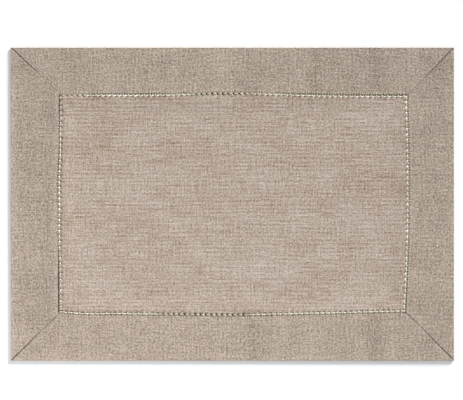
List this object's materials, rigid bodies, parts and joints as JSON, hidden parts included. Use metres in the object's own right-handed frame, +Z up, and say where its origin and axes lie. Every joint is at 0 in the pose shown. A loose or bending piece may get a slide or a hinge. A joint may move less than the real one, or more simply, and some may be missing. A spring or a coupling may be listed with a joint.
{
  "type": "hemstitched fabric placemat",
  "caption": "Flat rectangular cloth placemat: a slubby centre panel in a wide folded and mitred border, with an open hemstitch row along the border's inner edge.",
  "frame": {"origin": "middle of the mat on the surface that it lies on", "axes": "+X along the length, +Y from the front long edge to the back long edge, +Z up out of the face that is seen"},
  "size_m": [0.508, 0.359, 0.003],
  "materials": {
    "panel_cloth": "matte",
    "border_cloth": "matte",
    "hemstitch_thread": "matte"
  },
  "bodies": {
    "root": {"centre_panel": "panel_cloth", "border_front": "border_cloth", "border_right": "border_cloth", "border_back": "border_cloth", "border_left": "border_cloth"}
  },
  "joints": []
}
